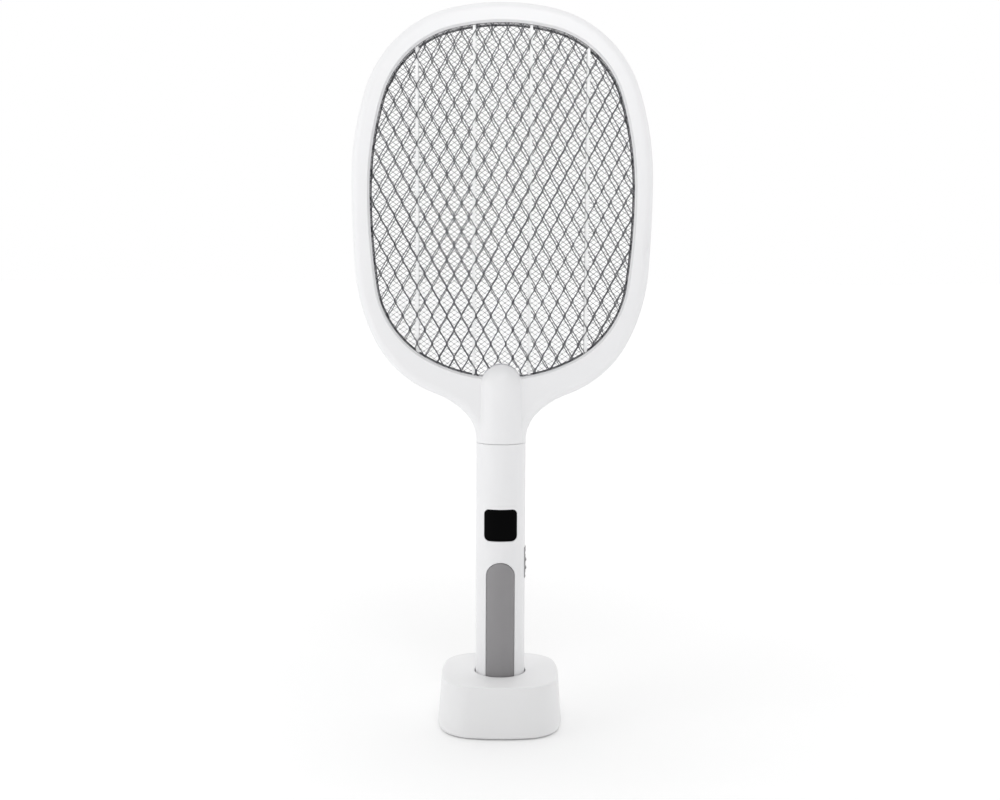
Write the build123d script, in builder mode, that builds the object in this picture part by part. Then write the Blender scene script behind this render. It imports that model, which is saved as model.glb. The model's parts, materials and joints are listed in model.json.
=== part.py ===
"""Electric fly swatter on its charging stand: a three-layer mesh racket that lifts out of a socket.

Millimetres, +Z up, the front faces -Y, the origin is under the middle of the stand.
"""

import math
import os

from build123d import *

# ---- driving dimensions --------------------------------------------------------------------
HANDLE_R = 17.0  # round handle, outside
HANDLE_WALL = 3.0
SEAM_Z = 197.0  # joint line between handle and head
SEAM_GAP = 0.25
SPLIT_GAP = 0.1  # parting line between front and rear halves

RING_HALF = 10.0  # half the thickness of the ring
RING_EDGE = 6.0  # rounding of its outer edge
RING_TOP = 490.5
OPENING_TOP = 476.8
LIP_WIDTH = 3.4  # sloping lip round the opening
LIP_DEPTH = 1.6
DOME_Z = 236.5  # centre of the dome over the lure lamp
DOME_HALF = 13.9

STAND_HALF = 42.9  # half the width of the stand at its foot
STAND_H = 36.0
STAND_TAPER = 3.9
STAND_WALL = 2.8
PLATE_Z = 0.8  # underside of the stand's plate, above its feet
WELL_R = 17.75
WELL_FLOOR_Z = 9.0

MESH_EDGE = 4.4  # how far the mesh layers reach under the ring
POCKET_DEPTH = 7.0  # half the room that the mesh layers have inside the ring
GUARD_PITCH = (10.0, 19.0)
GUARD_BAR = 0.8
GUARD_Y = 6.4  # middle of each guard, in front and behind
GUARD_T = 0.6
LIVE_PITCH = (13.8, 9.9)
LIVE_BAR = 1.3
LIVE_T = 0.5
RIB_X = (-57.0, -19.0, 19.0, 57.0)
RIB_WIDTH = 1.8

TRIGGER_Z = 141.5
TRIGGER_SIZE = (21.8, 21.4)
TRIGGER_RADIUS = 3.2
TRIGGER_GAP = 0.35
GRIP_HALF = 9.65
GRIP_TOP = 115.6
GRIP_INNER = 15.5
GRIP_OUTER = 17.15
KNOB_Z = 111.9
KNOB_LENGTH = 12.0
BEZEL_Z = (102.7, 123.9)
BEZEL_HALF = 4.4

HANDLE_FOOT = 9.1  # underside of the end cap, just above the well's floor
CAP_TOP = 10.5
CHANNEL_HALF = 2.4  # half the width of the channel under the cap that clears the charging pins
SLEEVE_Z = (181.0, 214.0)
CELL_R = 9.2
CELL_Z = (26.0, 91.0)
BOARD_Z = (100.0, 178.0)
BOARD_Y = (1.2, 2.8)
HANDLE_SCREW_Z = (18.0, 96.0)
NECK_SCREW_Z = (189.0, 206.0)
PIN_X = 6.0
PAD_Z = 10.6
PIN_GAP = 0.1
STAND_BOARD_Z = (4.0, 5.6)
STAND_SCREW_AT = [(x, y) for x in (-31.5, 31.5) for y in (-9.0, 9.0)]
FOOT_AT = [(x, y) for x in (-25.0, 25.0) for y in (-25.0, 25.0)]
LEAD_X = 22.5

FRONT = -1
REAR = 1


def arc_chain(start, heading, turns):
    """Tangent arcs, each (radius, degrees), clockwise when positive; returns end and direction."""
    point, direction = Vector(*start), Vector(*heading)
    for radius, degrees in turns:
        bend = math.copysign(abs(degrees), -radius)
        arc = JernArc(start=point, tangent=direction, radius=abs(radius), arc_size=bend)
        point, direction = arc @ 1, arc % 1
    return point, direction


def heading_degrees(direction):
    """Angle turned clockwise from +X."""
    return -math.degrees(math.atan2(direction.Y, direction.X))


def opening_outline():
    """Egg-shaped opening of the ring, as six tangent arcs on each side."""
    with BuildSketch() as sketch:
        with BuildLine():
            end, direction = arc_chain(
                (0, OPENING_TOP), (1, 0), [(138, 14), (64, 59), (216, 17), (450, 8), (66, 52)]
            )
            left = 180 - heading_degrees(direction)
            arc_chain(end, (direction.X, direction.Y), [(end.X / math.sin(math.radians(left)), left)])
            mirror(about=Plane.YZ)
        make_face()
    return sketch.sketch


def ring_outline():
    """Outside of the ring, flaring in to the width of the neck at the joint line."""
    with BuildSketch() as sketch:
        with BuildLine():
            end, direction = arc_chain(
                (0, RING_TOP),
                (1, 0),
                [(156, 12), (79.3, 60), (198.5, 18), (850, 4), (123.5, 22), (75.5, 44), (-55.5, 24)],
            )
            sideways = math.atan2(direction.Y, direction.X)
            radius = (end.X - HANDLE_R) / (1 + math.sin(sideways))
            turn = heading_degrees(direction) - 90
            end, direction = arc_chain(end, (direction.X, direction.Y), [(-radius, turn)])
            Polyline((end.X, end.Y), (HANDLE_R, SEAM_Z + SEAM_GAP), (0, SEAM_Z + SEAM_GAP))
            mirror(about=Plane.YZ)
        make_face()
    return sketch.sketch


def tongue_outline(half_width, foot_z):
    """Upright tongue with a round top, centred on the dome."""
    with BuildSketch() as sketch:
        with Locations((0, DOME_Z)):
            Circle(half_width)
        with Locations((0, (DOME_Z + foot_z) / 2)):
            Rectangle(2 * half_width, DOME_Z - foot_z)
    return sketch.sketch


def squircle(half):
    """Rounded square whose sides bow out a little: eight tangent arcs."""
    side_radius, side_turn = 110.0 * half / 40.3, 10.0
    a = math.radians(side_turn)
    x, y = half - side_radius * (1 - math.cos(a)), side_radius * math.sin(a)
    corner_radius = (x - y) / (math.cos(a) - math.sin(a))
    with BuildSketch() as sketch:
        with BuildLine():
            bow = (-side_radius, side_turn)
            corner = (-corner_radius, 90 - 2 * side_turn)
            arc_chain((half, 0), (0, 1), [bow, corner, bow, bow, corner, bow])
            mirror(about=Plane.XZ)
        make_face()
    return sketch.sketch


def diamond(pitch, bar):
    """Hole of a diamond lattice, drawn in by half a bar on each side."""
    a, b = pitch[0] / 2, pitch[1] / 2
    keep = 1 - (bar / 2) * math.hypot(a, b) / (a * b)
    with BuildSketch() as sketch:
        with BuildLine():
            Polyline((a * keep, 0), (0, b * keep), (-a * keep, 0), (0, -b * keep), close=True)
        make_face()
    return sketch.sketch


def lattice_points(pitch, low, high):
    """Centres of the diamonds that can reach into a box from low to high."""
    middle = (low[1] + high[1]) / 2
    columns = math.ceil((high[0] - low[0]) / pitch[0]) + 1
    rows = math.ceil((high[1] - low[1]) / pitch[1]) + 1
    return [
        ((i + shift) * pitch[0], middle + (j + shift) * pitch[1])
        for shift in (0, 0.5)
        for i in range(-columns // 2, columns // 2 + 1)
        for j in range(-rows // 2, rows // 2 + 1)
    ]


def lattice(edge, window, pitch, bar):
    """Flat sheet with diamond holes; those that the window's edge crosses are cut off there."""
    box, field = window.bounding_box(), window.face()
    hole = diamond(pitch, bar).face()
    whole, crossed = [], []
    for x, y in lattice_points(pitch, (box.min.X, box.min.Y), (box.max.X, box.max.Y)):
        moved = hole.moved(Location((x, y, 0)))
        inside = [field.is_inside(corner.center()) for corner in moved.vertices()]
        if all(inside):
            whole.append(moved.outer_wire())
        elif any(inside):
            crossed.append(moved)
    cut_off = [piece for moved in crossed for piece in (moved & field).faces()]
    return Face(edge.face().outer_wire(), whole + [piece.outer_wire() for piece in cut_off])


def grown(sketch, amount):
    """The outline moved outwards everywhere by amount."""
    with BuildSketch() as bigger:
        offset(sketch, amount=amount, kind=Kind.ARC)
    return bigger.sketch


def less(sketch, *holes):
    """The outline with other outlines taken out of it."""
    with BuildSketch() as rest:
        add(sketch)
        for hole in holes:
            add(hole, mode=Mode.SUBTRACT)
    return rest.sketch


def facing_front(y):
    """Plane at depth y seen from the front; extrusions from it come towards the viewer, -Y."""
    return Plane(origin=(0, y, 0), x_dir=(1, 0, 0), z_dir=(0, -1, 0))


def slab(outline, y_front, y_back, mode=Mode.ADD):
    """Solid between two depths whose outline is drawn as seen from the front."""
    with BuildSketch(facing_front(y_back)) as face:
        add(outline)
    extrude(face.sketch, amount=y_back - y_front, dir=(0, -1, 0), mode=mode)


def depths(side, near, far):
    """Pair of depths on one side of the parting plane, in rising order."""
    return sorted((side * near, side * far))


def upright(radius, z_low, z_high, x=0.0, y=0.0, mode=Mode.ADD):
    """Round bar standing along Z."""
    with Locations((x, y, (z_low + z_high) / 2)):
        Cylinder(radius, z_high - z_low, mode=mode)


def across(radius, y_front, y_back, x, z, mode=Mode.ADD):
    """Round bar lying along Y."""
    with Locations(Location((x, (y_front + y_back) / 2, z), (90, 0, 0))):
        Cylinder(radius, y_back - y_front, mode=mode)


def block(x, y, z, mode=Mode.ADD):
    """Box between pairs of limits."""
    with Locations([(sum(x) / 2, sum(y) / 2, sum(z) / 2)]):
        Box(x[1] - x[0], y[1] - y[0], z[1] - z[0], mode=mode)


def write(part, name):
    """Label a finished piece and write its file."""
    part.label = name
    export_step(part, f"parts/{name}.step")


os.makedirs("parts", exist_ok=True)

OPENING = opening_outline()
RING = ring_outline()
RAIL = grown(OPENING, 8.8).wire()  # line of the screws, along the middle of the ring
SCREW_AT = [RAIL @ t for t in (0.035, 0.14, 0.25, 0.375, 0.625, 0.75, 0.86, 0.965)]


# ---- head ----------------------------------------------------------------------------------
def neck_half(side):
    """The handle's round section carried up in front of the ring, ending in a dome."""
    with BuildSketch() as shadow:
        add(RING)
        add(OPENING, mode=Mode.SUBTRACT)
        add(tongue_outline(DOME_HALF, DOME_Z - 25))
    with BuildPart() as neck:
        upright(HANDLE_R, SEAM_Z + SEAM_GAP, DOME_Z)
        with Locations((0, 0, DOME_Z)):
            Sphere(HANDLE_R)
        slab(shadow.sketch, *depths(side, 0, HANDLE_R + 1), mode=Mode.INTERSECT)
    return neck.part


def neck_hollow(side):
    """Room inside the neck and dome for the leads, the sleeve and the lamp."""
    with BuildPart() as hollow:
        upright(HANDLE_R - HANDLE_WALL, SEAM_Z - 1, DOME_Z)
        with Locations((0, 0, DOME_Z)):
            Sphere(HANDLE_R - HANDLE_WALL)
        slab(tongue_outline(DOME_HALF - 2.4, SEAM_Z - 10), -HANDLE_R, HANDLE_R, mode=Mode.INTERSECT)
        upright(HANDLE_R - HANDLE_WALL, SEAM_Z - 1, SLEEVE_Z[1] + 0.5)
    return hollow.part


def head_half(side):
    """Half of the ring, neck and dome: side is FRONT or REAR."""
    tongue = tongue_outline(DOME_HALF, DOME_Z - 25)
    with BuildPart() as half:
        slab(RING, *depths(side, 0, RING_HALF))
        rim = half.faces().sort_by(Axis.Y)[0 if side == FRONT else -1].outer_wire().edges()
        fillet([edge for edge in rim if (edge @ 0.5).Z > SEAM_Z + 1], RING_EDGE)
        slab(OPENING, *depths(side, 0, RING_HALF), mode=Mode.SUBTRACT)
        face = half.faces().sort_by(Axis.Y)[0 if side == FRONT else -1]
        chamfer(face.inner_wires()[0].edges(), LIP_DEPTH, LIP_WIDTH, reference=face)
        slab(tongue, *depths(side, 0, RING_HALF))
        add(neck_half(side))
        slab(POCKET, *depths(side, 0, POCKET_DEPTH), mode=Mode.SUBTRACT)
        slab(GROOVE, *depths(side, 0, 7.4), mode=Mode.SUBTRACT)
        for point in SCREW_AT:
            across(2.6, *depths(side, 0, 8.0), point.X, point.Y)
        add(neck_hollow(side), mode=Mode.SUBTRACT)
        slab(LAMP_SLOT, *depths(side, 0, 3.2), mode=Mode.SUBTRACT)
        block((-24, 24), depths(side, 0, 1.6), (229.4, 232.6), mode=Mode.SUBTRACT)
        for x in (-LEAD_X, LEAD_X):
            block((x - 2.3, x + 2.3), depths(side, 0, 7.2), (229.4, 241.5), mode=Mode.SUBTRACT)
        if side == REAR:
            across(1.4, 0, HANDLE_R + 1, 0, NECK_SCREW_Z[1], mode=Mode.SUBTRACT)
            across(2.6, HANDLE_R - 1.6, HANDLE_R + 1, 0, NECK_SCREW_Z[1], mode=Mode.SUBTRACT)
        block((-120, 120), depths(side, -1, SPLIT_GAP / 2), (190, 500), mode=Mode.SUBTRACT)
        for point in SCREW_AT:
            if side == REAR:
                across(1.4, 0, 12, point.X, point.Y, mode=Mode.SUBTRACT)
                across(2.4, 7.6, 12, point.X, point.Y, mode=Mode.SUBTRACT)
            else:
                across(1.05, -7.0, 0, point.X, point.Y, mode=Mode.SUBTRACT)
    return half.part


TONGUE = tongue_outline(DOME_HALF, DOME_Z - 40)
POCKET = less(grown(OPENING, MESH_EDGE + 0.4), TONGUE)
GROOVE = less(grown(OPENING, 10.4), grown(OPENING, 6.6), tongue_outline(DOME_HALF + 1.5, DOME_Z - 40))
with BuildSketch() as lamp_slot:
    with Locations((0, DOME_Z)):
        Circle(DOME_HALF + 2)
    with Locations((0, DOME_Z + 11.5)):
        Rectangle(40, 20, mode=Mode.INTERSECT)
LAMP_SLOT = lamp_slot.sketch

write(head_half(FRONT), "head_front_shell")
write(head_half(REAR), "head_rear_shell")

mesh_edge = less(grown(OPENING, MESH_EDGE), tongue_outline(DOME_HALF + 0.6, DOME_Z - 40))
mesh_window = less(grown(OPENING, 1.0), tongue_outline(DOME_HALF + 2, DOME_Z - 40))
guard_sheet = lattice(mesh_edge, mesh_window, GUARD_PITCH, GUARD_BAR)
for side, name in ((FRONT, "front_guard_mesh"), (REAR, "rear_guard_mesh")):
    with BuildPart() as guard:
        slab(guard_sheet, *depths(side, GUARD_Y - GUARD_T / 2, GUARD_Y + GUARD_T / 2))
    write(guard.part, name)

live_edge = less(grown(OPENING, MESH_EDGE - 0.6), tongue_outline(DOME_HALF + 3, DOME_Z - 40))
live_window = less(grown(OPENING, 1.0), tongue_outline(DOME_HALF + 4.4, DOME_Z - 40))
with BuildPart() as live_mesh:
    slab(lattice(live_edge, live_window, LIVE_PITCH, LIVE_BAR), -LIVE_T / 2, LIVE_T / 2)
write(live_mesh.part, "hv_mesh")

with BuildSketch() as spacer_sketch:
    with Locations(*[(x, (RING_TOP + DOME_Z) / 2) for x in RIB_X]):
        Rectangle(RIB_WIDTH, RING_TOP - DOME_Z)
    add(grown(OPENING, 2.0), mode=Mode.INTERSECT)
    add(less(mesh_edge, grown(OPENING, 1.2)))
for side, name in ((FRONT, "front_mesh_spacer"), (REAR, "rear_mesh_spacer")):
    with BuildPart() as spacer:
        slab(spacer_sketch.sketch, *depths(side, LIVE_T / 2 + 0.35, GUARD_Y - GUARD_T / 2 - 0.1))
    write(spacer.part, name)

with BuildPart() as contacts:
    x_left, x_right = (-LEAD_X - 2, -LEAD_X + 2), (LEAD_X - 2, LEAD_X + 2)
    block(x_left, (-6.95, 6.95), (234.0, 236.6))
    for side in (FRONT, REAR):
        block(x_left, depths(side, GUARD_Y + GUARD_T / 2 + 0.03, 6.95), (236.0, 242.0))
    block(x_right, (-1.2, 1.2), (234.0, 236.6))
    block(x_right, (-0.5, -0.3), (236.0, 242.0))
write(contacts.part, "mesh_contacts")

with BuildPart() as leads:
    for way in (-1, 1):
        with BuildLine() as route:
            FilletPolyline(
                (way * 5, 0, BOARD_Z[1] + 1.5),
                (way * 5, 0, 231.0),
                (way * LEAD_X, 0, 231.0),
                (way * LEAD_X, 0, 233.9),
                radius=[4.0, 1.6],
            )
        with BuildSketch(Plane(origin=(way * 5, 0, BOARD_Z[1] + 1.5), z_dir=(0, 0, 1))) as section:
            Circle(0.6)
        sweep(section.sketch, path=route.wire())
write(leads.part, "hv_leads")

with BuildPart() as screws:
    for point in SCREW_AT:
        across(2.2, 7.7, 9.2, point.X, point.Y)
        across(1.0, -6.0, 7.7, point.X, point.Y)
write(screws.part, "head_screws")

with BuildPart() as sleeve:
    upright(HANDLE_R - HANDLE_WALL - 0.1, *SLEEVE_Z)
    upright(12.0, SLEEVE_Z[0] - 1, SLEEVE_Z[1] + 1, mode=Mode.SUBTRACT)
    for z in NECK_SCREW_Z:
        across(1.3, 11, 15, 0, z, mode=Mode.SUBTRACT)
write(sleeve.part, "neck_sleeve")

with BuildPart() as lamp_board:
    block((-9, 9), (-8, 8), (DOME_Z - 1, DOME_Z + 0.2))
write(lamp_board.part, "lamp_board")

with BuildPart() as lamp_leds:
    for x in (-6.0, 0.0, 6.0):
        upright(2.9, DOME_Z + 0.2, DOME_Z + 1.2, x)
        upright(2.5, DOME_Z + 1.2, DOME_Z + 4.0, x)
        with Locations((x, 0, DOME_Z + 4.0)):
            Sphere(2.5)
write(lamp_leds.part, "lamp_leds")

with BuildSketch() as lens_sketch:
    with Locations((0, DOME_Z)):
        Circle(DOME_HALF - 0.2)
        Circle(DOME_HALF - 2.0, mode=Mode.SUBTRACT)
    with Locations((0, DOME_Z + 12)):
        Rectangle(40, 20, mode=Mode.INTERSECT)
with BuildPart() as lens:
    slab(lens_sketch.sketch, -3.05, 3.05)
write(lens.part, "lamp_lens")


# ---- handle --------------------------------------------------------------------------------
def grip_outline(gap):
    """Upright strip with a round top."""
    with BuildSketch() as sketch:
        with Locations((0, GRIP_TOP - GRIP_HALF)):
            Circle(GRIP_HALF + gap)
        with Locations((0, (GRIP_TOP - GRIP_HALF + CAP_TOP + 1.1 - gap) / 2)):
            Rectangle(2 * (GRIP_HALF + gap), GRIP_TOP - GRIP_HALF - CAP_TOP - 1.1 + gap)
    return sketch.sketch


def grip_strip(gap, inner, outer):
    """Curved strip down the front of the handle, between two radii."""
    with BuildPart() as strip:
        upright(outer, CAP_TOP, GRIP_TOP + 2)
        upright(inner, CAP_TOP, GRIP_TOP + 2, mode=Mode.SUBTRACT)
        slab(grip_outline(gap), -HANDLE_R - 2, -5, mode=Mode.INTERSECT)
    return strip.part


def trigger_outline(gap):
    """Rounded square of the trigger, with its corners eased to match the gap."""
    with BuildSketch() as sketch:
        with Locations((0, TRIGGER_Z)):
            RectangleRounded(TRIGGER_SIZE[0] + 2 * gap, TRIGGER_SIZE[1] + 2 * gap, TRIGGER_RADIUS + gap)
    return sketch.sketch


def handle_half(side):
    """Half of the round handle, with its screw posts: side is FRONT or REAR."""
    bore = HANDLE_R - HANDLE_WALL
    with BuildPart() as half:
        upright(HANDLE_R, CAP_TOP + 0.1, SEAM_Z)
        chamfer(half.edges().group_by(Axis.Z)[-1], 0.4)
        upright(bore, CAP_TOP, SEAM_Z + 1, mode=Mode.SUBTRACT)
        for z in HANDLE_SCREW_Z:
            across(3.0, *depths(side, 0, bore + 0.5), 0, z)
        if side == REAR:
            for x in (-8.0, 8.0):
                for z in (BOARD_Z[0] + 4, BOARD_Z[1] - 4):
                    across(1.8, BOARD_Y[1] + 0.05, bore - 1.5, x, z)
            for z in HANDLE_SCREW_Z + NECK_SCREW_Z[:1]:
                across(1.4, 0, HANDLE_R + 1, 0, z, mode=Mode.SUBTRACT)
                across(2.6, HANDLE_R - 1.6, HANDLE_R + 1, 0, z, mode=Mode.SUBTRACT)
        else:
            slab(trigger_outline(TRIGGER_GAP), -HANDLE_R - 1, -5, mode=Mode.SUBTRACT)
            add(grip_strip(0.25, GRIP_INNER - 0.1, HANDLE_R + 1), mode=Mode.SUBTRACT)
            for z in HANDLE_SCREW_Z:
                across(1.05, -9.0, 0, 0, z, mode=Mode.SUBTRACT)
        slot = (-BEZEL_HALF - 0.1, BEZEL_HALF + 0.1)
        block((8, 20), slot, (BEZEL_Z[0] - 0.1, BEZEL_Z[1] + 0.1), mode=Mode.SUBTRACT)
        block((-20, 20), depths(side, -20, SPLIT_GAP / 2), (0, 200), mode=Mode.SUBTRACT)
    return half.part


write(handle_half(FRONT), "handle_front_shell")
write(handle_half(REAR), "handle_rear_shell")
write(grip_strip(0.0, GRIP_INNER, GRIP_OUTER), "grip_inlay")

with BuildPart() as end_cap:
    upright(HANDLE_R - 0.2, HANDLE_FOOT, CAP_TOP)
    chamfer(end_cap.edges().group_by(Axis.Z)[0], 0.8)
    upright(HANDLE_R - HANDLE_WALL - 0.1, CAP_TOP, 14.0)
    channel = (-CHANNEL_HALF, CHANNEL_HALF)
    block((-20, 20), channel, (HANDLE_FOOT - 1, PAD_Z), mode=Mode.SUBTRACT)
    for x in (-PIN_X, PIN_X):
        upright(2.9, PAD_Z, 15.0, x, mode=Mode.SUBTRACT)
write(end_cap.part, "end_cap")

with BuildPart() as pads:
    for x in (-PIN_X, PIN_X):
        upright(2.8, PAD_Z, PAD_Z + 1.0, x)
write(pads.part, "charge_pads")

with BuildPart() as cell:
    upright(CELL_R, *CELL_Z)
    fillet(cell.edges(), 0.8)
    upright(3.0, CELL_Z[1] - 1, CELL_Z[1] + 0.7)
write(cell.part, "battery_cell")

with BuildPart() as tabs:
    block((-4, 4), (-2.5, 2.5), (CELL_Z[1] + 0.7, CELL_Z[1] + 0.9))
    block((-4, 4), (-2.5, 2.5), (CELL_Z[0] - 0.2, CELL_Z[0]))
write(tabs.part, "battery_tabs")

with BuildPart() as cradle:
    for z in (36.0, 78.0):
        upright(HANDLE_R - HANDLE_WALL - 0.1, z - 3, z + 3)
        upright(CELL_R + 0.1, z - 4, z + 4, mode=Mode.SUBTRACT)
    block((-20, 20), (-20, 2), (0, 200), mode=Mode.SUBTRACT)
write(cradle.part, "battery_cradle")

with BuildPart() as handle_screws:
    for z in HANDLE_SCREW_Z:
        across(2.4, HANDLE_R - 1.5, HANDLE_R - 0.4, 0, z)
        across(1.0, -8.0, HANDLE_R - 1.5, 0, z)
write(handle_screws.part, "handle_screws")

with BuildPart() as neck_screws:
    for z in NECK_SCREW_Z:
        across(2.4, HANDLE_R - 1.5, HANDLE_R - 0.4, 0, z)
        across(1.2, 10.5, HANDLE_R - 1.5, 0, z)
write(neck_screws.part, "neck_screws")

# ---- electronics in the handle -------------------------------------------------------------
board_front = BOARD_Y[0] - 0.05
with BuildPart() as board:
    block((-12, 12), BOARD_Y, BOARD_Z)
write(board.part, "control_board")

with BuildPart() as core:
    block((-8, 8), (-8.4, -0.6), (158, 174))
    for way in (-1, 1):
        block(sorted((way * 2.6, way * 5.6)), (-9, 0), (161, 171), mode=Mode.SUBTRACT)
write(core.part, "transformer_core")

with BuildPart() as winding:
    block((-5.4, 5.4), (-10.6, 1.0), (161.3, 170.7))
    fillet(winding.edges().filter_by(Axis.Z), 1.4)
    block((-2.75, 2.75), (-8.55, -0.45), (160, 172), mode=Mode.SUBTRACT)
write(winding.part, "transformer_winding")

with BuildPart() as capacitors:
    for way in (-1, 1):
        block(sorted((way * 1.0, way * 10.0)), (-4.6, board_front), (147.0, 156.5))
    fillet(capacitors.edges().filter_by(Axis.Y), 1.5)
write(capacitors.part, "hv_capacitors")

with BuildPart() as diodes:
    for x in (-9.6, -6.4, 6.4, 9.6):
        upright(1.3, 127.0, 134.5, x, board_front - 1.35)
write(diodes.part, "rectifier_diodes")

with BuildPart() as discs:
    for x in (-8.0, 0.0):
        across(3.6, -1.6, board_front, x, 119.0)
write(discs.part, "disc_capacitors")

with BuildPart() as chips:
    block((-4.0, 1.0), (-0.6, board_front), (104.0, 109.0))
    block((-10.0, -6.5), (-0.3, board_front), (105.0, 108.0))
write(chips.part, "control_chips")

with BuildPart() as trigger_switch:
    block((-3, 3), (-2.6, board_front), (TRIGGER_Z - 3, TRIGGER_Z + 3))
    across(1.85, -3.0, -0.3, 0, TRIGGER_Z, mode=Mode.SUBTRACT)
write(trigger_switch.part, "trigger_switch")

with BuildPart() as mode_switch:
    block((5.0, 11.6), (-3.4, board_front), (KNOB_Z - 9, KNOB_Z + 9))
    block((9.2, 12), (-1.3, 1.05), (KNOB_Z - 5, KNOB_Z + 5), mode=Mode.SUBTRACT)
write(mode_switch.part, "mode_switch")

# ---- controls that move --------------------------------------------------------------------
with BuildPart() as trigger_hollow:
    upright(GRIP_INNER - 0.2, TRIGGER_Z - 9, TRIGGER_Z + 9)
    block((-9.2, 9.2), (-17, -10.0), (TRIGGER_Z - 9, TRIGGER_Z + 9), mode=Mode.INTERSECT)
with BuildPart() as trigger:
    slab(trigger_outline(0.0), -HANDLE_R - 2, -10.4)
    upright(HANDLE_R + 0.3, TRIGGER_Z - 15, TRIGGER_Z + 15, mode=Mode.INTERSECT)
    fillet(trigger.edges().sort_by(Axis.Y)[: len(trigger.edges()) // 2], 0.5)
    add(trigger_hollow.part, mode=Mode.SUBTRACT)
    block((-7, 7), (-11.8, -10.4), (TRIGGER_Z - 12.9, TRIGGER_Z - 9))
    block((-7, 7), (-11.8, -10.4), (TRIGGER_Z + 9, TRIGGER_Z + 12.9))
    across(2.0, -16.0, -4.0, 0, TRIGGER_Z)
write(trigger.part, "trigger_button")

with BuildPart() as plunger:
    across(1.7, -4.0, -1.7, 0, TRIGGER_Z)
write(plunger.part, "trigger_plunger")

with BuildPart() as knob:
    block((12.4, 20), (-3.0, 3.0), (KNOB_Z - KNOB_LENGTH / 2, KNOB_Z + KNOB_LENGTH / 2))
    for z in (KNOB_Z - 2.85, KNOB_Z + 2.85):
        with Locations(Location((HANDLE_R + 0.35, 0, z), (90, 0, 0))):
            Cylinder(0.8, 6.0)
    upright(HANDLE_R + 0.45, KNOB_Z - 10, KNOB_Z + 10, mode=Mode.INTERSECT)
    for z in (KNOB_Z - 2.85, KNOB_Z + 2.85):
        with Locations(Location((HANDLE_R + 0.25, 0, z), (90, 0, 0))):
            Cylinder(0.8, 5.0)
    block((12.4, 13.3), (-3.0, 3.0), (KNOB_Z - 8.4, KNOB_Z + 8.4))
write(knob.part, "mode_knob")

with BuildPart() as lever:
    block((9.6, 12.4), (-0.9, 0.7), (KNOB_Z - 1.5, KNOB_Z + 1.5))
write(lever.part, "mode_lever")

with BuildPart() as bezel:
    upright(HANDLE_R + 0.5, *BEZEL_Z)
    upright(HANDLE_R - HANDLE_WALL + 0.1, BEZEL_Z[0] - 1, BEZEL_Z[1] + 1, mode=Mode.SUBTRACT)
    block((10, 20), (-BEZEL_HALF, BEZEL_HALF), BEZEL_Z, mode=Mode.INTERSECT)
    block((10, 20), (-3.3, 3.3), (KNOB_Z - 8.8, KNOB_Z + 8.8), mode=Mode.SUBTRACT)
write(bezel.part, "mode_bezel")

# ---- stand ---------------------------------------------------------------------------------
with BuildPart() as stand_hollow:
    with BuildSketch(Plane.XY.offset(PLATE_Z)):
        add(squircle(STAND_HALF - STAND_WALL))
    extrude(amount=STAND_H - STAND_WALL - PLATE_Z, taper=STAND_TAPER)
    upright(WELL_R + 2, WELL_FLOOR_Z - 2, STAND_H, mode=Mode.SUBTRACT)

with BuildPart() as stand:
    with BuildSketch(Plane.XY.offset(PLATE_Z)):
        add(squircle(STAND_HALF))
    extrude(amount=STAND_H - PLATE_Z, taper=STAND_TAPER)
    fillet(stand.edges().group_by(Axis.Z)[-1], 1.2)
    fillet(stand.edges().group_by(Axis.Z)[0], 2.0)
    upright(WELL_R, WELL_FLOOR_Z, STAND_H + 1, mode=Mode.SUBTRACT)
    fillet(stand.faces().sort_by(Axis.Z)[-1].inner_wires()[0].edges(), 0.7)
    add(stand_hollow.part, mode=Mode.SUBTRACT)
    for x, y in STAND_SCREW_AT:
        upright(3.2, 3.1, STAND_H - 2, x, y)
        upright(1.3, 3.0, 13.0, x, y, mode=Mode.SUBTRACT)
    for x in (-PIN_X, PIN_X):
        upright(1.9, WELL_FLOOR_Z - 3, WELL_FLOOR_Z + 1, x, mode=Mode.SUBTRACT)
    with BuildSketch(facing_front(STAND_HALF + 1)) as mouth:
        with Locations((0, 7.25)):
            RectangleRounded(10.0, 4.2, 2.0)
    extrude(mouth.sketch, amount=8, mode=Mode.SUBTRACT)
    with BuildSketch(facing_front(STAND_HALF + 1)) as recess:
        with Locations((0, 7.25)):
            RectangleRounded(13.0, 7.4, 3.2)
    extrude(recess.sketch, amount=2.6, mode=Mode.SUBTRACT)
write(stand.part, "base_shell")

with BuildPart() as plate:
    with BuildSketch(Plane.XY.offset(PLATE_Z)):
        add(squircle(STAND_HALF - STAND_WALL - 0.35))
    extrude(amount=2.2)
    for x, y in FOOT_AT:
        upright(6.1, 0, 2.0, x, y, mode=Mode.SUBTRACT)
    for x, y in STAND_SCREW_AT:
        upright(1.5, 0, 4, x, y, mode=Mode.SUBTRACT)
        upright(2.7, 0, 2.0, x, y, mode=Mode.SUBTRACT)
write(plate.part, "base_plate")

with BuildPart() as feet:
    for x, y in FOOT_AT:
        upright(6.0, 0, 2.0, x, y)
    fillet(feet.edges().group_by(Axis.Z)[0], 0.4)
write(feet.part, "base_feet")

with BuildPart() as base_screws:
    for x, y in STAND_SCREW_AT:
        upright(2.4, 0.9, 2.0, x, y)
        upright(1.25, 2.0, 11.5, x, y)
write(base_screws.part, "base_screws")

with BuildPart() as charge_board:
    block((-14, 14), (-12, 38.2), STAND_BOARD_Z)
write(charge_board.part, "charge_board")

with BuildPart() as charge_parts:
    block((-3, 3), (22, 28), (STAND_BOARD_Z[1], STAND_BOARD_Z[1] + 1.4))
    block((6, 12), (22, 28), (STAND_BOARD_Z[1], STAND_BOARD_Z[1] + 3.2))
    block((-11, -7), (23, 28), (STAND_BOARD_Z[1], STAND_BOARD_Z[1] + 1.8))
write(charge_parts.part, "charge_board_parts")

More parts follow.
